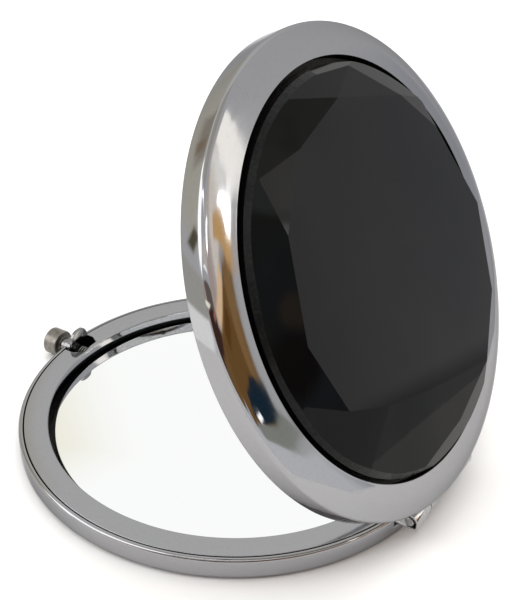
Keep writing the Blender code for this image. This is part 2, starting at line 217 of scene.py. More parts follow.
# --------------------------------------------------------------- materials
class Nodes:
    """A small shorthand for building node trees."""

    def __init__(self, tree):
        self.tree = tree
        self.count = 0

    def add(self, kind, inputs=None, **settings):
        node = self.tree.nodes.new("ShaderNode" + kind)
        self.count += 1
        node.location = (200 * self.count, -120 * (self.count % 5))
        for key, value in settings.items():
            setattr(node, key, value)
        for key, value in (inputs or {}).items():
            socket = node.inputs[key]
            if hasattr(value, "is_output"):
                self.tree.links.new(value, socket)
            else:
                socket.default_value = value
        return node

    def math(self, operation, a, b=0.0, clamp=False):
        return self.add("Math", {0: a, 1: b}, operation=operation, use_clamp=clamp).outputs[0]

    def mix(self, factor, a, b):
        node = self.add("Mix", data_type="RGBA")
        for key, value in (("Factor", factor), (6, a), (7, b)):
            socket = node.inputs[key]
            if hasattr(value, "is_output"):
                self.tree.links.new(value, socket)
            elif key == "Factor":
                socket.default_value = value
            else:
                socket.default_value = tuple(value) + ((1.0,) if len(value) == 3 else ())
        return node.outputs[2]

    def ramp(self, value, low, high, out_low=0.0, out_high=1.0, smooth=True):
        node = self.add("MapRange", {0: value, 1: low, 2: high, 3: out_low, 4: out_high},
                        interpolation_type="SMOOTHSTEP" if smooth else "LINEAR")
        node.clamp = True
        return node.outputs[0]

    def millimetres(self, stretch=(1.0, 1.0, 1.0)):
        where = self.add("TexCoord").outputs["Object"]
        return self.add("Mapping", {"Vector": where,
                                    "Scale": tuple(1000.0 * s for s in stretch)}).outputs[0]

    def noise(self, vector, scale, detail=3.0, rough=0.5):
        return self.add("TexNoise", {"Vector": vector, "Scale": scale, "Detail": detail,
                                     "Roughness": rough}).outputs[0]


def shader(name, colour, metallic, rough, **more):
    mat = bpy.data.materials.new(name)
    mat.use_nodes = True
    mat.diffuse_color = tuple(colour) + (1.0,)
    node = mat.node_tree.nodes["Principled BSDF"]
    node.inputs["Base Color"].default_value = tuple(colour) + (1.0,)
    node.inputs["Metallic"].default_value = metallic
    node.inputs["Roughness"].default_value = rough
    for key, value in more.items():
        node.inputs[key.replace("_", " ")].default_value = value
    return mat, Nodes(mat.node_tree), node


def chrome(name, colour, rough=0.045, haze=0.05, wave=1.6e-6, marks=0.5):
    """Plated metal: nearly a mirror, with faint haze, wiped smears, hairlines
    and the slight waviness of pressed sheet."""
    mat, n, node = shader(name, colour, 1.0, rough, Specular_Tint=(0.55, 0.55, 0.56, 1.0))
    mm = n.millimetres()
    cloud = n.noise(mm, 0.11, 4.0, 0.6)
    fine = n.noise(mm, 1.9, 3.0, 0.6)
    swept = n.noise(n.millimetres((0.35, 2.6, 0.7)), 0.5, 5.0, 0.65)
    hair = n.noise(n.millimetres((0.6, 14.0, 9.0)), 1.0, 2.0, 0.5)
    smear = n.ramp(swept, 0.52, 0.78)
    lines = n.ramp(hair, 0.70, 0.76)
    amount = n.math("MULTIPLY", n.ramp(cloud, 0.35, 0.75), haze)
    amount = n.math("ADD", amount, n.math("MULTIPLY", smear, haze * 0.6))
    amount = n.math("ADD", amount, n.math("MULTIPLY", lines, 0.12 * marks))
    amount = n.math("ADD", amount, rough)
    n.tree.links.new(amount, node.inputs["Roughness"])
    dull = tuple(c * 0.88 for c in colour)
    tint = n.mix(n.math("MULTIPLY", n.ramp(fine, 0.45, 0.85), 0.5), colour, dull)
    tint = n.mix(n.math("MULTIPLY", lines, 0.35 * marks), tint, tuple(c * 0.72 for c in colour))
    n.tree.links.new(tint, node.inputs["Base Color"])
    slow = n.noise(mm, 0.16, 2.0, 0.4)
    bump = n.add("Bump", {"Height": n.math("ADD", n.math("MULTIPLY", slow, 6.0), n.math("MULTIPLY", fine, 0.12)),
                          "Strength": 1.0, "Distance": wave})
    n.tree.links.new(bump.outputs[0], node.inputs["Normal"])
    return mat


CHROME = (0.345, 0.345, 0.355)
MAT = {}
MAT["lid"] = chrome("chrome_lid", CHROME)
MAT["base"] = chrome("chrome_base", CHROME)
# fittings round the clasp and the strike: plating painted darker than the shells', as painted shade for the
# clasp recess
MAT["small"] = chrome("chrome_fittings_painted_shade", (0.235, 0.235, 0.235), rough=0.09, haze=0.08)


def make_materials():
    # unpolished inside of the pressed shells, its colour painted nearly black: painted shade for the narrow gaps
    # round the mirrors and the crystal
    mat, n, node = shader("inside_metal_painted_shade", (0.028, 0.028, 0.027), 1.0, 0.5)
    mm = n.millimetres()
    grain = n.noise(mm, 3.0, 4.0, 0.7)
    n.tree.links.new(n.ramp(grain, 0.3, 0.8, 0.42, 0.62), node.inputs["Roughness"])
    n.tree.links.new(n.mix(n.ramp(grain, 0.35, 0.75), (0.036, 0.035, 0.033), (0.018, 0.018, 0.018)),
                     node.inputs["Base Color"])
    MAT["inside"] = mat

    # silvered glass, with a few specks of dust and a wiped haze
    mat, n, node = shader("mirror_silver", (0.93, 0.94, 0.945), 1.0, 0.004)
    mm = n.millimetres()
    specks = n.add("TexVoronoi", {"Vector": mm, "Scale": 0.55}, feature="F1").outputs["Distance"]
    dust = n.math("MULTIPLY", n.ramp(specks, 0.05, 0.03), n.ramp(n.noise(mm, 0.4), 0.55, 0.6))
    wipe = n.ramp(n.noise(n.millimetres((0.2, 1.2, 1.0)), 0.25, 4.0), 0.5, 0.8)
    rough = n.math("ADD", n.math("MULTIPLY", dust, 0.22), n.math("MULTIPLY", wipe, 0.012))
    n.tree.links.new(n.math("ADD", rough, 0.004), node.inputs["Roughness"])
    n.tree.links.new(n.mix(n.math("MULTIPLY", dust, 0.35), (0.93, 0.94, 0.945), (0.70, 0.70, 0.69)),
                     node.inputs["Base Color"])
    MAT["mirror"] = mat

    # cut edge of the mirrors: green-grey glass, ground
    mat, n, node = shader("mirror_edge", (0.06, 0.075, 0.07), 0.0, 0.32)
    grit = n.noise(n.millimetres(), 5.0, 3.0, 0.7)
    n.tree.links.new(n.ramp(grit, 0.3, 0.7, 0.25, 0.5), node.inputs["Roughness"])
    n.tree.links.new(n.mix(n.ramp(grit, 0.3, 0.7), (0.05, 0.065, 0.06), (0.10, 0.12, 0.11)),
                     node.inputs["Base Color"])
    MAT["mirror_edge"] = mat

    # dark crystal: black foil seen through glass, with faint smears on top
    mat, n, node = shader("dark_crystal", (0.0035, 0.0035, 0.0038), 0.0, 0.012, IOR=1.265)
    mm = n.millimetres()
    smear = n.ramp(n.noise(n.millimetres((0.4, 1.6, 1.0)), 0.12, 5.0, 0.6), 0.5, 0.75)
    n.tree.links.new(n.math("ADD", n.math("MULTIPLY", smear, 0.03), 0.012), node.inputs["Roughness"])
    tone_noise = n.ramp(n.noise(mm, 0.06, 2.0), 0.35, 0.7)
    n.tree.links.new(n.mix(tone_noise, (0.0028, 0.0028, 0.0031), (0.0052, 0.0050, 0.0048)),
                     node.inputs["Base Color"])
    MAT["crystal"] = mat

    # its shallow crown facets in groups, with painted reflection and painted shade: each group's colour and
    # weaker reflection stand in for what those facets mirror;
    # one group is painted olive, one blue-black with a painted brown reflection and a painted black patch
    # olive group: its colour is a painted reflection
    mat, n, node = shader("crystal_facet_painted_olive", (0.0040, 0.0042, 0.0034), 0.0, 0.012, IOR=1.265,
                          Specular_IOR_Level=0.05)
    tone_noise = n.ramp(n.noise(n.millimetres(), 0.09, 2.0), 0.35, 0.7)
    n.tree.links.new(n.mix(tone_noise, (0.0068, 0.0074, 0.0066), (0.0100, 0.0104, 0.0096)),
                     node.inputs["Base Color"])
    MAT["crystal_dim"] = mat
    # duller group: its colour and weak reflection are painted shade
    mat, n, node = shader("crystal_facet_painted_dull", (0.006, 0.006, 0.006), 0.0, 0.03, IOR=1.265,
                          Specular_IOR_Level=0.22)
    tone_noise = n.ramp(n.noise(n.millimetres(), 0.09, 2.0), 0.35, 0.7)
    n.tree.links.new(n.mix(tone_noise, (0.0055, 0.0058, 0.0060), (0.0085, 0.0088, 0.0088)),
                     node.inputs["Base Color"])
    MAT["crystal_dull"] = mat
    # shaded group: its colour is painted shade
    mat, n, node = shader("crystal_facet_painted_shade", (0.011, 0.0115, 0.012), 0.0, 0.012, IOR=1.265,
                          Specular_IOR_Level=0.08)
    tone_noise = n.ramp(n.noise(n.millimetres(), 0.09, 2.0), 0.35, 0.7)
    n.tree.links.new(n.mix(tone_noise, (0.0100, 0.0104, 0.0110), (0.0120, 0.0125, 0.0130)),
                     node.inputs["Base Color"])
    MAT["crystal_shade"] = mat
    # grey group: its lighter colour is a painted reflection
    mat, n, node = shader("crystal_facet_painted_grey", (0.017, 0.0175, 0.018), 0.0, 0.012, IOR=1.265,
                          Specular_IOR_Level=0.08)
    tone_noise = n.ramp(n.noise(n.millimetres(), 0.09, 2.0), 0.35, 0.7)
    n.tree.links.new(n.mix(tone_noise, (0.0165, 0.0170, 0.0175), (0.0190, 0.0195, 0.0200)),
                     node.inputs["Base Color"])
    MAT["crystal_grey"] = mat
    # blue-black group: its colour is painted reflection and shade
    mat, n, node = shader("crystal_facet_painted_reflection", (0.003, 0.004, 0.005), 0.0, 0.012, IOR=1.265,
                          Specular_IOR_Level=0.02)
    mm = n.millimetres()
    tone_noise = n.ramp(n.noise(mm, 0.09, 2.0), 0.35, 0.7)
    tint = n.mix(tone_noise, (0.0050, 0.0058, 0.0060), (0.0054, 0.0064, 0.0084))
    # a painted brown reflection and a painted black patch, fixed at points on the open lid
    for spot, reach, shade in (((22.6, -4.2, 10.2), 3.4, (0.0105, 0.0092, 0.0078)),
                               ((25.6, 1.6, 10.0), 6.2, (0.0032, 0.0030, 0.0030))):
        where = to_open @ Vector(spot)
        away = n.add("VectorMath", {0: mm, 1: tuple(where)}, operation="DISTANCE").outputs["Value"]
        tint = n.mix(n.ramp(away, reach, reach * 0.45), tint, shade)
    n.tree.links.new(tint, node.inputs["Base Color"])
    MAT["crystal_deep"] = mat

    # its ground rim bevel, slightly rough and speckled
    mat, n, node = shader("crystal_bevel", (0.010, 0.0105, 0.0105), 0.0, 0.3, IOR=1.265,
                          Specular_IOR_Level=0.3)
    mm = n.millimetres()
    speck = n.ramp(n.noise(mm, 2.2, 4.0, 0.7), 0.42, 0.72)
    cloud = n.ramp(n.noise(mm, 0.22, 2.0), 0.35, 0.7)
    tint = n.mix(cloud, (0.0060, 0.0072, 0.0070), (0.0105, 0.0105, 0.0115))
    n.tree.links.new(n.mix(n.math("MULTIPLY", speck, 0.5), tint, (0.022, 0.0235, 0.023)),
                     node.inputs["Base Color"])
    n.tree.links.new(n.ramp(cloud, 0.0, 1.0, 0.2, 0.4), node.inputs["Roughness"])
    MAT["crystal_edge"] = mat

    # black foil under the crystal
    mat, n, node = shader("black_foil", (0.008, 0.008, 0.009), 0.0, 0.3)
    grain = n.noise(n.millimetres(), 2.0, 4.0, 0.6)
    n.tree.links.new(n.ramp(grain, 0.3, 0.7, 0.22, 0.4), node.inputs["Roughness"])
    n.tree.links.new(n.mix(n.ramp(grain, 0.3, 0.7), (0.006, 0.006, 0.007), (0.014, 0.013, 0.013)),
                     node.inputs["Base Color"])
    MAT["foil"] = mat

    # satin button: fine turned lines round its axis
    mat, n, node = shader("satin_nickel", (0.20, 0.19, 0.17), 1.0, 0.34)
    where = n.millimetres()
    parts = n.add("SeparateXYZ", {0: where})
    dx = n.math("SUBTRACT", parts.outputs[0], CLASP_X)
    dz = n.math("SUBTRACT", parts.outputs[2], BUTTON_Z)
    radius = n.math("SQRT", n.math("ADD", n.math("MULTIPLY", dx, dx), n.math("MULTIPLY", dz, dz)))
    rings = n.add("CombineXYZ", {0: radius, 1: parts.outputs[1], 2: 0.0}).outputs[0]
    turned = n.noise(rings, 9.0, 3.0, 0.7)
    broad = n.noise(where, 1.1, 3.0, 0.6)
    n.tree.links.new(n.ramp(turned, 0.25, 0.75, 0.26, 0.46), node.inputs["Roughness"])
    tint = n.mix(n.ramp(broad, 0.35, 0.7), (0.235, 0.222, 0.200), (0.160, 0.150, 0.134))
    n.tree.links.new(tint, node.inputs["Base Color"])
    bump = n.add("Bump", {"Height": turned, "Strength": 0.5, "Distance": 2.0e-5})
    n.tree.links.new(bump.outputs[0], node.inputs["Normal"])
    MAT["satin"] = mat

    # dull steel: pin ends and the coil
    mat, n, node = shader("dull_steel", (0.33, 0.33, 0.32), 1.0, 0.36)
    grain = n.noise(n.millimetres(), 4.0, 4.0, 0.65)
    n.tree.links.new(n.ramp(grain, 0.3, 0.7, 0.28, 0.5), node.inputs["Roughness"])
    n.tree.links.new(n.mix(n.ramp(grain, 0.3, 0.75), (0.37, 0.37, 0.36), (0.22, 0.215, 0.205)),
                     node.inputs["Base Color"])
    MAT["steel"] = mat

    # rolled knuckles: chrome with the hatch left by rolling
    mat, n, node = shader("rolled_chrome", (0.40, 0.40, 0.405), 1.0, 0.12)
    across = n.noise(n.millimetres((7.0, 0.5, 0.5)), 1.0, 3.0, 0.7)
    cloud = n.noise(n.millimetres(), 0.7, 3.0, 0.6)
    rough = n.math("ADD", n.ramp(across, 0.35, 0.75, 0.07, 0.24), n.math("MULTIPLY", cloud, 0.08))
    n.tree.links.new(rough, node.inputs["Roughness"])
    n.tree.links.new(n.mix(n.ramp(across, 0.45, 0.75), (0.42, 0.42, 0.425), (0.27, 0.27, 0.27)),
                     node.inputs["Base Color"])
    bump = n.add("Bump", {"Height": across, "Strength": 0.4, "Distance": 1.2e-5})
    n.tree.links.new(bump.outputs[0], node.inputs["Normal"])
    MAT["rolled"] = mat

    # closed-cell adhesive foam
    mat, n, node = shader("foam", (0.03, 0.03, 0.03), 0.0, 0.9)
    cells = n.add("TexVoronoi", {"Vector": n.millimetres(), "Scale": 3.0}).outputs["Distance"]
    n.tree.links.new(n.mix(n.ramp(cells, 0.1, 0.6), (0.02, 0.02, 0.02), (0.045, 0.044, 0.042)),
                     node.inputs["Base Color"])
    bump = n.add("Bump", {"Height": cells, "Strength": 0.6, "Distance": 5e-5})
    n.tree.links.new(bump.outputs[0], node.inputs["Normal"])
    MAT["foam"] = mat


make_materials()


# ------------------------------------------------------------------- base
def hinge_notch(side):
    far = PIN_Z + side * 1.7
    return block(-BARREL_HALF - 0.2, BARREL_HALF + 0.2, 32.3, 37.5,
                 min(PIN_Z - side * 3.0, far), max(PIN_Z - side * 3.0, far))


def recess(low, high):
    side = [(2.85, -34.9), (2.85, -32.4), (1.95, -31.0)]
    outline = [(CLASP_X + x, y) for x, y in side] + [(CLASP_X - x, y) for x, y in side[::-1]]
    return prism(outline, "Z", low, high)


def make_base():
    outline = rounded([(0, 0), (R_OUT, 0, 1.3), (R_OUT, 4.0, 0.5), (INNER, 4.0, 0.08),
                       (INNER, 0.6, 0.5), (0, 0.6)], 8)
    shell = new_object("base_shell_pressed", lathe(outline))
    slot = [(CLASP_X + 1.9 * cos(radians(a)), BUTTON_Z + 1.9 * sin(radians(a)))
            for a in range(180, 361, 6)]
    slot += [(CLASP_X + 1.9, 6.0), (CLASP_X - 1.9, 6.0)]
    combine(shell, [("DIFFERENCE", hinge_notch(-1)), ("DIFFERENCE", prism(slot, "Y", -37.0, -33.6))])
    soften(shell, 0.07)
    # the shell's inner wall and floor take the dark metal with painted shade
    inside = lambda c, nrm: 1 if (hypot(c.x, c.y) < INNER + 0.01 and 0.3 < c.z < 3.85) else 0
    finish(shell, "base", [MAT["base"], MAT["inside"]], ("base_shell",), pick=inside)

    ring = new_object("base_ring_flange", lathe(rounded(
        [(30.3, 4.0, 0.28), (34.1, 4.0, 0.1), (34.1, 3.5, 0.06), (30.9, 3.5, 0.12),
         (30.9, 0.9, 0.06), (30.3, 0.9, 0.06)], 7)))
    combine(ring, [("DIFFERENCE", block(-BARREL_HALF - 0.2, BARREL_HALF + 0.2, 33.2, 36.0, 3.3, 4.2)),
                   ("DIFFERENCE", recess(3.3, 4.2))])
    soften(ring, 0.06)
    # the flange's underside and outer leg take the dark metal with painted shade
    under = lambda c, nrm: 1 if (c.z < 3.45 and hypot(c.x, c.y) > 30.85) else 0
    finish(ring, "base", [MAT["base"], MAT["inside"]], ("base_ring",), pick=under)

    glass = new_object("base_mirror_glass", lathe(rounded(
        [(0, 1.1), (29.4, 1.1, 0.06), (29.4, 2.0, 0.14), (0, 2.0)], 5)))
    finish(glass, "base", [MAT["mirror"], MAT["mirror_edge"]], ("base_mirror",),
           pick=lambda c, nrm: 0 if nrm.z > 0.95 else 1, sharp=30)


# ------------------------------------------------------------------ hinge
def close_curl(outer, inner, begin, tail, reach, low, high, side):
    end, steps = 120, 40
    for i in range(steps + 1):
        a = radians(begin + (end - begin) * i / steps)
        outer.append((BARREL_OUT * cos(a), BARREL_OUT * sin(a)))
        inner.append((BARREL_IN * cos(a), BARREL_IN * sin(a)))
    a = radians(end)
    dy, dz = -sin(a) * tail, cos(a) * tail
    outer.append((outer[-1][0] + dy, outer[-1][1] + dz))
    inner.append((inner[-1][0] + dy, inner[-1][1] + dz))
    outline = [(reach - PIN_Y, low)] + outer + inner[::-1] + [(reach - PIN_Y, high)]
    return [(PIN_Y + y, PIN_Z + side * z) for y, z in outline]


def make_hinge():
    drop, t = 1.2, BARREL_OUT - BARREL_IN
    outer = [(0.9, -drop), (1.12, -drop + 0.03), (1.30, -drop + 0.14), (1.42, -drop + 0.32),
             (BARREL_OUT + 0.01, -0.6), (BARREL_OUT + 0.02, -0.3)]
    inner = [(0.8, -drop + t), (0.92, -drop + t + 0.03), (1.02, -drop + t + 0.12),
             (BARREL_IN - 0.02, -0.55), (BARREL_IN, -0.28)]
    shape = close_curl(outer, inner, 0, 0.7, 31.5, -drop, -drop + t, 1)
    leaf = new_object("hinge_leaf_base", prism(shape, "X", -BARREL_HALF, -KNUCKLE_SPLIT - 0.1))
    combine(leaf, [("UNION", prism(shape, "X", KNUCKLE_SPLIT + 0.1, BARREL_HALF)),
                   ("UNION", block(-BARREL_HALF + 0.6, BARREL_HALF - 0.6, 31.3, 32.9,
                                   PIN_Z - drop, PIN_Z - drop + t))])
    soften(leaf, 0.07)
    finish(leaf, "base", [MAT["rolled"]], ("base_hinge_leaf",), sharp=40)

    pin = lathe(rounded([(0, -BARREL_HALF), (0.75, -BARREL_HALF, 0.22), (0.75, BARREL_HALF, 0.22),
                         (0, BARREL_HALF)], 6), 48)
    bmesh.ops.transform(pin, verts=pin.verts, matrix=Matrix.Translation((0, PIN_Y, PIN_Z))
                        @ Matrix.Rotation(radians(90), 4, "Y"))
    finish(new_object("hinge_pin_steel", pin), "base", [MAT["steel"]], ("hinge_pin",))

    half = KNUCKLE_SPLIT - 0.1
    lid_shape = close_curl([], [], -90, 0.3, 31.5, -BARREL_OUT, -BARREL_IN, -1)
    leaf = new_object("hinge_leaf_lid", prism(lid_shape, "X", -half, half))
    soften(leaf, 0.07)
    finish(leaf, "lid", [MAT["rolled"]], ("lid_hinge_leaf",), lid=True, sharp=40)


# ------------------------------------------------------------------ clasp
def make_clasp():
    bush = lathe_y(rounded([(1.35, -35.7, 0.08), (1.7, -35.7, 0.15), (1.7, -34.0, 0.05),
                            (1.35, -34.0, 0.05)], 5), CLASP_X, BUTTON_Z)
    finish(new_object("button_collar", bush), "base", [MAT["small"]], ("button_bush",))

    head = rounded([(0, -39.75), (2.35, -39.66, 0.42), (2.35, -36.9, 0.22), (1.25, -36.9, 0.12),
                    (1.25, -33.65, 0.05), (0.62, -33.65, 0.05), (0.62, -32.85, 0.1), (0, -32.85)], 7)
    finish(new_object("button_turned", lathe_y(head, CLASP_X, BUTTON_Z)), "button",
           [MAT["satin"], MAT["small"]], ("push_button",),
           pick=lambda c, nrm: 1 if (c.y > -36.86 and hypot(c.x - CLASP_X, c.z - BUTTON_Z) < 1.6) else 0)

    half, top = 2.1, 6.8
    arch = [(half, 4.9), (1.95, 5.45), (1.62, 6.15), (1.25, 6.55), (0.75, 6.75), (0.3, top)]
    outline = [(CLASP_X - half, 1.0), (CLASP_X + half, 1.0)]
    outline += [(CLASP_X + x, z) for x, z in arch] + [(CLASP_X - x, z) for x, z in arch[::-1]]
    plate = new_object("catch_plate", prism(outline, "Y", -33.55, -32.95))
    nose = prism([(-33.75, 5.35), (-33.35, 5.15), (-33.35, 6.05), (-33.75, 5.75)], "X",
                 CLASP_X - 1.2, CLASP_X + 1.2)
    hole = lathe_y([(0, -35), (0.72, -35), (0.72, -32), (0, -32)], CLASP_X, BUTTON_Z, 40)
    combine(plate, [("UNION", nose), ("DIFFERENCE", hole)])
    soften(plate, 0.1, segments=3)
    finish(plate, "button", [MAT["small"]], ("latch_catch",), sharp=50)


# -------------------------------------------------------------------- lid
def make_lid():
    z = LID_Z
    start = (34.15 + 0.85 * cos(radians(64.2)), 2.94 + 0.85 * sin(radians(64.2)))
    crown = []
    for i in range(1, 29):
        t = i / 28
        e = min(t, 0.58)
        crown.append((start[0] + (29.8 - start[0]) * t,
                      start[1] * (1 - e) + 4.27 * e + 0.43 * 4 * e * (1 - e)
                      + (t - e) * (0.354 - 0.30 * (t - e))))
    lip = crown.pop()
    outline = [(0, z + 2.9), (0, z + 2.4), (30.6, z + 2.4), (31.3, z + 3.0), (INNER, z + 2.9),
               (INNER, z + 0.08), (INNER + 0.08, z)]
    outline += [(R_OUT - 0.18, z)] + arc(R_OUT - 0.18, z + 0.18, 0.18, -90, 0, 5)[1:]
    outline += arc(34.15, z + 2.94, 0.85, 0, 64.2, 11)
    outline += [(r, z + h) for r, h in crown]
    outline += [(lip[0] + 0.07, z + lip[1] + 0.005), (lip[0] + 0.015, z + lip[1] - 0.035),
                (lip[0], z + lip[1] - 0.1)]
    outline += [(29.8, z + 2.9)]
    shell = new_object("lid_shell_pressed", lathe(outline))
    combine(shell, [("DIFFERENCE", hinge_notch(+1))])
    soften(shell, 0.07)

    # the floor and lip round the crystal and the lid's inner wall take the dark metal with painted shade
    def zone(c, nrm):
        r = hypot(c.x, c.y)
        return 1 if ((r < 29.88 and c.z > z + 2.5)
                     or (r < INNER + 0.01 and c.z < z + 3.05 and c.z > z + 0.1)) else 0
    finish(shell, "lid", [MAT["lid"], MAT["inside"]], ("lid_frame",), lid=True, pick=zone)

    low, high = z + 0.05, z + 0.55
    ring = new_object("lid_ring_flange", lathe(rounded(
        [(30.3, low, 0.28), (34.1, low, 0.1), (34.1, high, 0.06), (30.9, high, 0.12),
         (30.9, z + 2.2, 0.06), (30.3, z + 2.2, 0.06)], 7)))
    combine(ring, [("DIFFERENCE", block(-BARREL_HALF - 0.2, BARREL_HALF + 0.2, 33.2, 36.0,
                                        low - 0.2, high + 0.2)),
                   ("DIFFERENCE", recess(low - 0.2, high + 0.2))])
    soften(ring, 0.06)
    # the flange's hidden top takes the dark metal with painted shade
    finish(ring, "lid", [MAT["lid"], MAT["inside"]], ("lid_inner_ring",), lid=True,
           pick=lambda c, nrm: 1 if (c.z > high - 0.1 and hypot(c.x, c.y) > 30.85) else 0)

    glass = new_object("lid_mirror_glass", lathe(rounded(
        [(0, z + 1.9), (29.4, z + 1.9, 0.06), (29.4, z + 1.0, 0.14), (0, z + 1.0)], 5)))
    finish(glass, "lid", [MAT["mirror"], MAT["mirror_edge"]], ("lid_mirror",), lid=True,
           pick=lambda c, nrm: 0 if nrm.z < -0.95 else 1, sharp=30)

    strike = new_object("strike_ledge", block(CLASP_X - 1.8, CLASP_X + 1.8, -34.1, -33.85,
                                              z + 0.1, z + 0.75))
    soften(strike, 0.05)
    finish(strike, "lid", [MAT["small"]], ("lid_strike",), lid=True)


# The crystal's cut: corners of the flat table as (bearing, radius), and corners
# of the girdle as (bearing, radius, fall below the table, slope of the flat
# bevel that runs on to the next corner, 0 where the rim is round).
TABLE_CORNERS = [(263, 24.0), (294, 22.9), (325, 22.1), (1.5, 22.8), (30, 23.1), (53, 19.5),
                 (78.5, 18.6), (103, 21.2)]
GIRDLE = [(252.5, 28.0, 0.25, 50), (272, 28.2, 0.60, 0), (284.5, 28.0, 0.55, 0),
          (312, 27.7, 0.6, 0), (342, 28.0, 0.6, 0), (14, 27.8, 0.6, 0), (46, 28.2, 0.5, 0),
          (74, 28.4, 0.6, 17), (97, 26.9, 0.35, 13), (123, 27.8, 0, 45), (147, 28.2, 0, 45),
          (175, 28.5, 0, 38), (205.5, 27.1, 0, 11), (226.5, 26.2, 0, 20)]


def corner(bearing, radius, fall=0.0):
    a = radians(bearing)
    return Vector((radius * cos(a), radius * sin(a), GLASS_TOP - fall))


def cut_plane(bm, a, b, c):
    """Grind away everything above the plane through three points."""
    normal = (b - a).cross(c - a).normalized()
    if normal.z < 0:
        normal.negate()
    bmesh.ops.bisect_plane(bm, geom=bm.verts[:] + bm.edges[:] + bm.faces[:], dist=1e-5,
                           plane_co=a, plane_no=normal, clear_outer=True)
    rim = [e for e in bm.edges if len(e.link_faces) == 1]
    if rim:
        bmesh.ops.contextual_create(bm, geom=rim)
        bmesh.ops.remove_doubles(bm, verts=bm.verts, dist=2e-3)


def make_crystal():
    centre = Vector((0.065, 0.24, 0))
    bm = lathe([(0, LID_Z + 3.3), (28.95, LID_Z + 3.3), (28.95, GLASS_TOP), (0, GLASS_TOP)], 144)
    bmesh.ops.translate(bm, vec=centre, verts=bm.verts)
    for bearing in range(264, 432, 4):
        spot = corner(bearing, 28.2, 0.6) + centre
        out = corner(bearing, 1.0) - corner(bearing, 0.0)
        s = radians(50)
        cut_plane(bm, spot, spot + Vector((-out.y, out.x, 0)),
                  spot + out * cos(s) - Vector((0, 0, sin(s))))
    table = [corner(*c) for c in TABLE_CORNERS]
    girdle = [corner(*c[:3]) for c in GIRDLE]
    for i, (p, row) in enumerate(zip(girdle, GIRDLE)):
        if row[3]:
            q = girdle[(i + 1) % len(girdle)]
            out = (q - p).cross(Vector((0, 0, 1))).normalized()
            s = radians(row[3])
            cut_plane(bm, p, q, (p + q) / 2 + out * cos(s) - Vector((0, 0, sin(s))))
    # the shallow crown: triangles that stand on the girdle, and between them
    # triangles that stand on the table
    crown = [girdle[0]] + girdle[2:10]
    for i, t in enumerate(table):
        cut_plane(bm, t, crown[i], crown[i + 1])
        if i:
            cut_plane(bm, table[i - 1], t, crown[i])
    cut_plane(bm, girdle[-1], table[0], girdle[0])

    # crown facets take the groups with painted reflection and painted shade by slope and bearing; the steep
    # ground bevels take the rim bevel
    def tone(c, nrm):
        slope, bearing = degrees(nrm.angle(Vector((0, 0, 1)))), degrees(atan2(c.y, c.x)) % 360
        if slope > 25:
            return 3 if (bearing > 268 or bearing < 72) and slope < 80 else 0
        if not 1.5 < slope < 12:
            return 0
        if 42 < bearing < 125:
            return 5
        if 22 < bearing < 42:
            return 6
        if 303 < bearing < 317:
            return 4
        if bearing > 319 or bearing < 22:
            return 2
        return 1 if 272 < bearing < 319 else 0
    ob = new_object("crystal_cut", solid(bm))
    finish(ob, "lid", [MAT["crystal"], MAT["crystal_dim"], MAT["crystal_deep"], MAT["crystal_edge"],
                       MAT["crystal_grey"], MAT["crystal_dull"], MAT["crystal_shade"]], ("crystal_glass",), lid=True, pick=tone, sharp=1.0)


make_base()
make_hinge()
make_clasp()
make_lid()
make_crystal()

for node, key in (("base_mirror_pad", "foam"), ("lid_mirror_pad", "foam"),
                  ("crystal_backing", "foil"), ("latch_spring", "steel")):
    for slot in frame["nodes"][node].material_slots:
        slot.material = MAT[key]


# ------------------------------------------------------------------ studio
def make_camera():
    az, el = radians(122.955), radians(38.165)
    focal, shift_x, shift_y, roll, distance = 1186.10, -21.751, -126.391, radians(0.089), 196.586
    look = Vector((-sin(az) * cos(el), cos(az) * cos(el), -sin(el)))
    eye = -look * distance
    right = look.cross(Vector((0, 0, 1))).normalized()
    up = right.cross(look)
    right, up = right * cos(roll) + up * sin(roll), up * cos(roll) - right * sin(roll)
    ax, ay = atan2(shift_x, focal), atan2(shift_y, focal)
    look, right = look * cos(ax) - right * sin(ax), right * cos(ax) + look * sin(ax)
    look, up = look * cos(ay) - up * sin(ay), up * cos(ay) + look * sin(ay)
    data = bpy.data.cameras.new("camera")
    data.sensor_fit, data.sensor_width = "HORIZONTAL", 36.0
    data.lens = focal * 36.0 / 516.0
    data.clip_start, data.clip_end = 0.01, 20.0
    cam = bpy.data.objects.new("camera", data)
    bpy.context.scene.collection.objects.link(cam)
    cam.matrix_world = Matrix(((right.x, up.x, -look.x, eye.x * MM),
                               (right.y, up.y, -look.y, eye.y * MM),
                               (right.z, up.z, -look.z, eye.z * MM), (0, 0, 0, 1)))
    bpy.context.scene.camera = cam


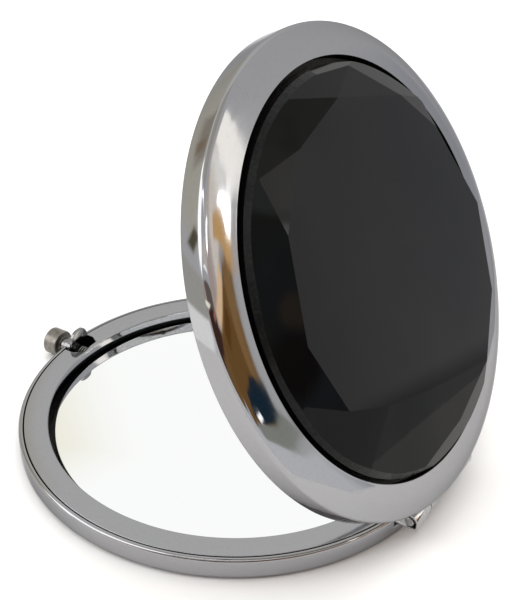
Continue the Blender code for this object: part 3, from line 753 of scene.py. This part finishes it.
# What the plating mirrors, as seen from the object: a pale room with a dark,
# warm sideboard behind a white table, a bright window over it and soft cards.
# Each patch is a convex shape on the sky: softness in degrees, the grey or
# colour it shows in the plating (0-255), its corners as (bearing, height).
# None stands for the table's own white, below the horizon.
PATCHES = [
    (6.0, (160, 160, 159), [(-60, 15), (-60, 62), (-120, 75), (-178, 62), (-178, 15), (-120, 5)]),
    (8.0, (151, 148, 138), [(-56, 8), (-56, 40), (-132, 40), (-132, 8)]),
    (5.0, (137, 134, 128), [(-120, 66), (-60, 64), (0, 67), (60, 66), (120, 64), (180, 66)]),
    (5.0, (122, 116, 106), [(-104, 19), (-104, 42), (-84, 44), (-84, 19)]),
    (2.5, (70, 66, 50), [(-62, 6.5), (-62, 13), (-56, 13), (-56, 6.5)]),
    (2.5, (112, 98, 82), [(-94, 19), (-94, 24), (-89, 24), (-89, 19)]),
    # window and its frame
    (2.5, (262, 262, 262), [(-54, -2), (92, 36), (80, 49), (60, 62), (35, 68.5), (0, 66), (-30, 58), (-56, 42)]),
    (1.2, (255, 255, 255), [(-76, 28), (-47, 4), (-44, 30), (-50, 47), (-72, 44)]),
    (1.5, (170, 162, 157), [(8, 45), (50, 51.5), (88, 39), (88, 32), (40, 43.5), (0, 37)]),
    (0.7, (240, 238, 235), [(-20, 24.5), (40, 43.0), (86, 31.5), (86, 29.8), (40, 41.0), (-20, 22)]),
    (1.0, (255, 255, 255), [(-50, 12), (-32, 12), (-6, 38), (0, 46), (-16, 60), (-50, 52)]),
    # sideboard
    (1.2, (86, 77, 73), [(-48, -1), (-10, 24.5), (40, 39.5), (88, 28.5), (88, -2), (20, -16), (-40, -34)]),
    (3.5, (142, 130, 126), [(-50, -6), (-20, 20), (-6, 20), (2, -22), (-38, -36)]),
    (1.6, (52, 35, 30), [(-12, 10), (40, 29.0), (70, 27.5), (88, 20), (88, 5), (40, 2), (0, -6)]),
    (3.0, (98, 73, 44), [(28, 8), (60, 16), (92, 19), (92, 2.5), (62, -2), (22, -14)]),
    (1.0, (216, 214, 196), [(-46, -5.5), (0, 20), (46, 30.2), (50, 29), (0, 17), (-44, -9)]),
    (1.0, (128, 92, 80), [(48, 27.5), (88, 25.5), (90, 23.2), (48, 25)]),
    # pale cards and papers over the sideboard's end
    (4.0, (156, 149, 145), [(86, 23), (86, 44), (102, 49), (131, 49), (131, 30), (112, 22)]),
    (3.0, (150, 136, 130), [(84, 24), (84, 36), (96, 36), (96, 24)]),
    (4.0, (190, 182, 172), [(101, 24), (101, 36), (112, 48), (124, 48), (124, 22)]),
    (2.0, (200, 170, 134), [(88, 19.5), (88, 24.5), (109, 24.5), (113, 19)]),
    # sideboard's end and top
    (1.2, (94, 68, 37), [(84, -1), (84, 20), (102, 20.5), (117, 19), (131, 10.5), (125, -2.5)]),
    (5.0, (114, 88, 55), [(116, 20), (119, -2), (124, -2.5), (131, 11)]),
    (1.5, (80, 53, 24), [(94, 15), (94, 19.4), (108, 19), (110, 15)]),
    (1.0, (174, 139, 92), [(107, 30.5), (109, 34.5), (134, 12), (132, 7.5)]),
    # card leaning on it, brightest along its edge
    (6.0, (206, 204, 199), [(113, 48), (124, 48), (128, 30), (134, 15), (128, 17), (117, 31)]),
    (0.9, (232, 229, 222), [(120, 48), (132, 48), (131.8, 34), (122.5, 34)]),
    (0.9, (232, 229, 222), [(122.5, 34.6), (131.8, 34.6), (136, 20), (129.5, 21)]),
    (0.9, (232, 229, 222), [(129.5, 21.6), (136, 20.6), (140, 9), (138, 8.6), (133, 14)]),
    (0.6, (262, 262, 262), [(117.5, 29.5), (119.5, 29), (134, 12), (132.6, 10.2)]),
    (0.5, (262, 262, 262), [(91, 38.5), (97, 42.0), (99, 40), (92, 35.5)]),
    # white table, whose far edge runs closer on one side with its shade above it
    None,
    (2.0, (141, 140, 135), [(-66, 2), (-36, 2), (-36, -9.8), (-66, -9.8)]),
    (2.0, (202, 202, 200), [(-58, -10.2), (-36, -10.2), (-36, -26), (-58, -26)]),
    (3.0, (141, 142, 143), [(131, -3), (131, -24), (165, -28), (165, -6)]),
    (0.8, (148, 148, 150), [(131, 0), (131, -4.2), (142, -6.9), (160, -11), (178, -11), (178, 0)]),
    (1.3, (104, 104, 106), [(134, -3.9), (143, -6.2), (144, -7.4), (134, -4.9)]),
    (7.0, (134, 135, 139), [(143.5, 8), (143.5, -4), (158, -4), (158, 8)]),
    # blue-black folder on the table's far edge
    (0.8, (116, 118, 112), [(88, 0.5), (128, -0.5), (131, -3), (112, -4.4), (88, -4.2)]),
    (0.7, (19, 34, 45), [(90, 2), (95, 7.0), (111, 7.2), (111, 0.3), (98, 0.3)]),
    (0.7, (19, 34, 45), [(110, 7.2), (119, 5.0), (128, 1.6), (127, -0.6), (110, 0.3)]),
    (0.5, (255, 255, 255), [(93, 2.0), (100, 2.8), (101, 1.6), (94, 0.4)]),
]


def linear(value):
    c = value / 255.0
    return c / 12.92 if c <= 0.04045 else ((c + 0.055) / 1.055) ** 2.4


def towards(bearing, height):
    b, h = radians(bearing), radians(height)
    return Vector((cos(b) * cos(h), sin(b) * cos(h), sin(h)))


def make_sky(world):
    world.use_nodes = True
    n = Nodes(world.node_tree)
    background = world.node_tree.nodes["Background"]
    ray = n.add("TexCoord").outputs["Generated"]
    height = n.add("SeparateXYZ", {0: ray}).outputs[2]
    colour = n.mix(n.ramp(height, -0.02, 0.5), (0.89, 0.89, 0.90), (0.86, 0.86, 0.875))
    for patch in PATCHES:
        if patch is None:
            colour = n.mix(n.ramp(height, -0.085, -0.070), (1.14, 1.15, 1.17), colour)
            continue
        soft, shown, corners = patch
        rays = [towards(*c) for c in corners]
        middle = sum(rays, Vector()).normalized()
        inside = None
        for a, b in zip(rays, rays[1:] + rays[:1]):
            edge = a.cross(b).normalized()
            if edge.dot(middle) < 0:
                edge.negate()
            near = n.add("VectorMath", {0: ray, 1: tuple(edge)}, operation="DOT_PRODUCT").outputs["Value"]
            inside = near if inside is None else n.math("MINIMUM", inside, near)
        width = radians(soft)
        light = tuple(linear(v) / CHROME[0] * (1.0 if v < 256 else 3.0) for v in shown)
        colour = n.mix(n.ramp(inside, -width / 2, width / 2), colour, light)
    plain = n.add("LightPath").outputs["Is Camera Ray"]
    colour = n.mix(plain, colour, (0.93, 0.93, 0.93))
    n.tree.links.new(colour, background.inputs["Color"])
    background.inputs["Strength"].default_value = 1.0


def make_studio():
    scene = bpy.context.scene
    scene.view_settings.view_transform = "Standard"
    scene.view_settings.look = "None"
    world = bpy.data.worlds.new("studio")
    scene.world = world
    make_sky(world)

    # pale table: the plating mirrors the part by the object, and the sky's own
    # table further out
    mat, n, node = shader("floor", (0.88, 0.88, 0.88), 0.0, 0.8, Specular_IOR_Level=0.0)
    for name, inner, outer, mirrored in (("floor_near", 0.0, 0.13, True), ("floor_far", 0.13, 3.0, False)):
        bm = lathe([(inner, -0.00002), (outer, -0.00002), (outer, -0.002), (inner, -0.002)], 96)
        floor = new_object(name, bm)
        floor.data.materials.append(mat)
        floor.visible_glossy = mirrored

    data = bpy.data.lights.new("overhead", "AREA")
    data.shape, data.size, data.energy = "DISK", 1.6, 12.5
    lamp = bpy.data.objects.new("overhead", data)
    scene.collection.objects.link(lamp)
    lamp.location = (-0.2, 0.1, 1.6)
    lamp.rotation_euler = (Vector((0, 0, 0)) - lamp.location).to_track_quat("-Z", "Y").to_euler()
    lamp.visible_glossy = False
    lamp.visible_camera = False


make_camera()
make_studio()
